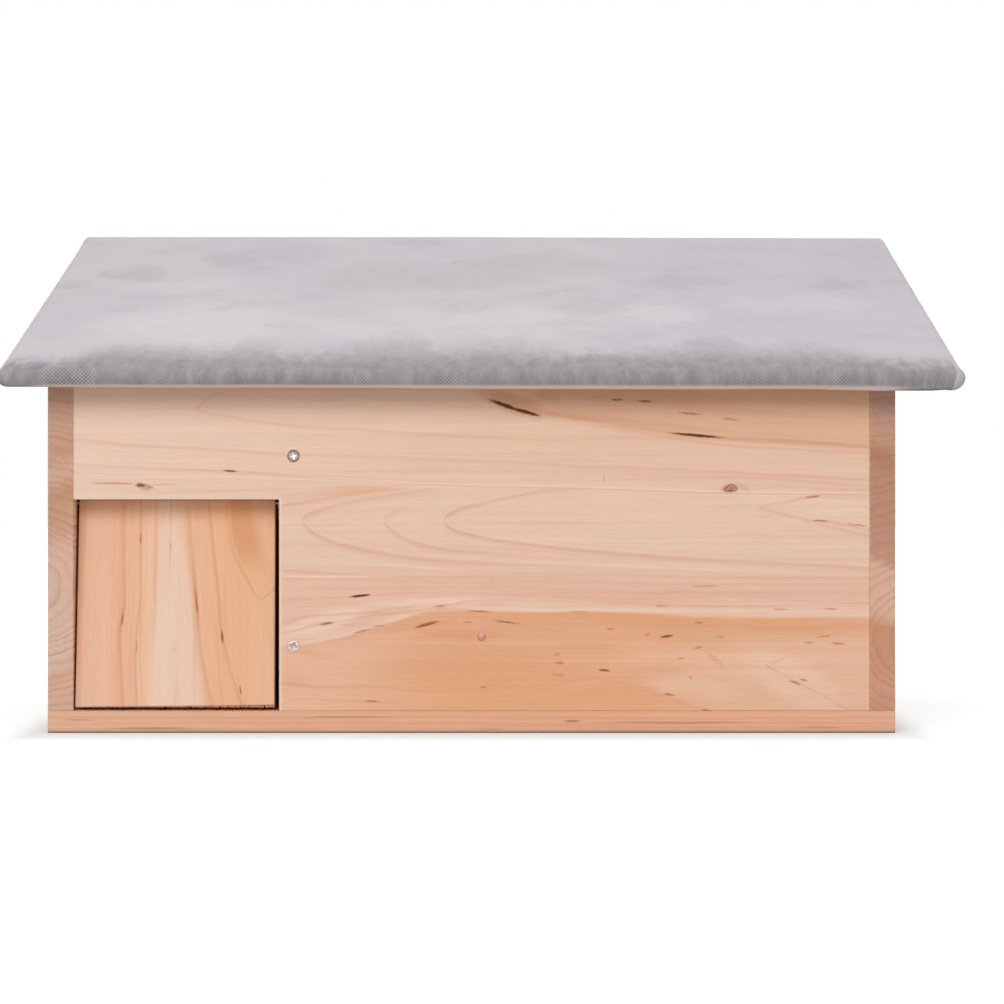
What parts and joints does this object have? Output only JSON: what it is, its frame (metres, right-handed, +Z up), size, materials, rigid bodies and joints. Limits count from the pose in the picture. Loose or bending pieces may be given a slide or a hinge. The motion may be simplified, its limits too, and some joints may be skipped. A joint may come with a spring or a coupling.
{
  "type": "hedgehog house",
  "caption": "Softwood hedgehog house with a sloping felt-covered hinged lid, a swinging entrance flap and an inner partition that turns the way in to the nesting chamber.",
  "frame": {"origin": "centre of the floor board's underside, where the house stands", "axes": "+Z up, the front with the entrance faces -Y, +X to the right of someone who looks at the front"},
  "size_m": [0.56, 0.4069, 0.3206],
  "materials": {
    "front_wood": "sawn softwood, bare",
    "side_wood": "sawn softwood, bare",
    "floor_wood": "sawn softwood, bare",
    "inner_wood": "sawn softwood, bare",
    "flap_wood": "sawn softwood, bare",
    "lid_wood": "plywood, bare",
    "felt": "grey felt with a fine embossed diamond grain",
    "staple_wire": "galvanised wire",
    "screw_zinc": "bright zinc plate",
    "nail_steel": "drawn steel",
    "hinge_steel": "zinc-plated pressed steel"
  },
  "bodies": {
    "root": {"floor_board": "floor_wood", "left_side_panel": "side_wood", "right_side_panel": "side_wood", "front_panel": "front_wood", "back_panel": "front_wood", "partition": "inner_wood", "front_screws": "screw_zinc", "back_screws": "screw_zinc", "side_screws": "screw_zinc", "floor_screws": "screw_zinc", "flap_nail_left": "nail_steel", "flap_nail_right": "nail_steel", "front_pin": "nail_steel", "left_hinge_back_leaf": "hinge_steel", "left_hinge_pin": "hinge_steel", "right_hinge_back_leaf": "hinge_steel", "right_hinge_pin": "hinge_steel", "hinge_back_screws": "screw_zinc"},
    "lid": {"lid_board": "lid_wood", "roof_felt": "felt", "felt_staples": "staple_wire", "left_hinge_lid_leaf": "hinge_steel", "right_hinge_lid_leaf": "hinge_steel", "hinge_lid_screws": "screw_zinc"},
    "flap": {"entrance_flap": "flap_wood"}
  },
  "joints": [
    {"name": "lid_hinge", "type": "hinge", "parent": "root", "child": "lid", "pos_m": [0, 0.18176, 0.30397], "axis": [-1, 0, 0], "range_deg": [0, 100]},
    {"name": "flap_swing", "type": "hinge", "parent": "root", "child": "flap", "pos_m": [-0.1745, -0.1573, 0.1352], "axis": [1, 0, 0], "range_deg": [-37, 88]}
  ]
}
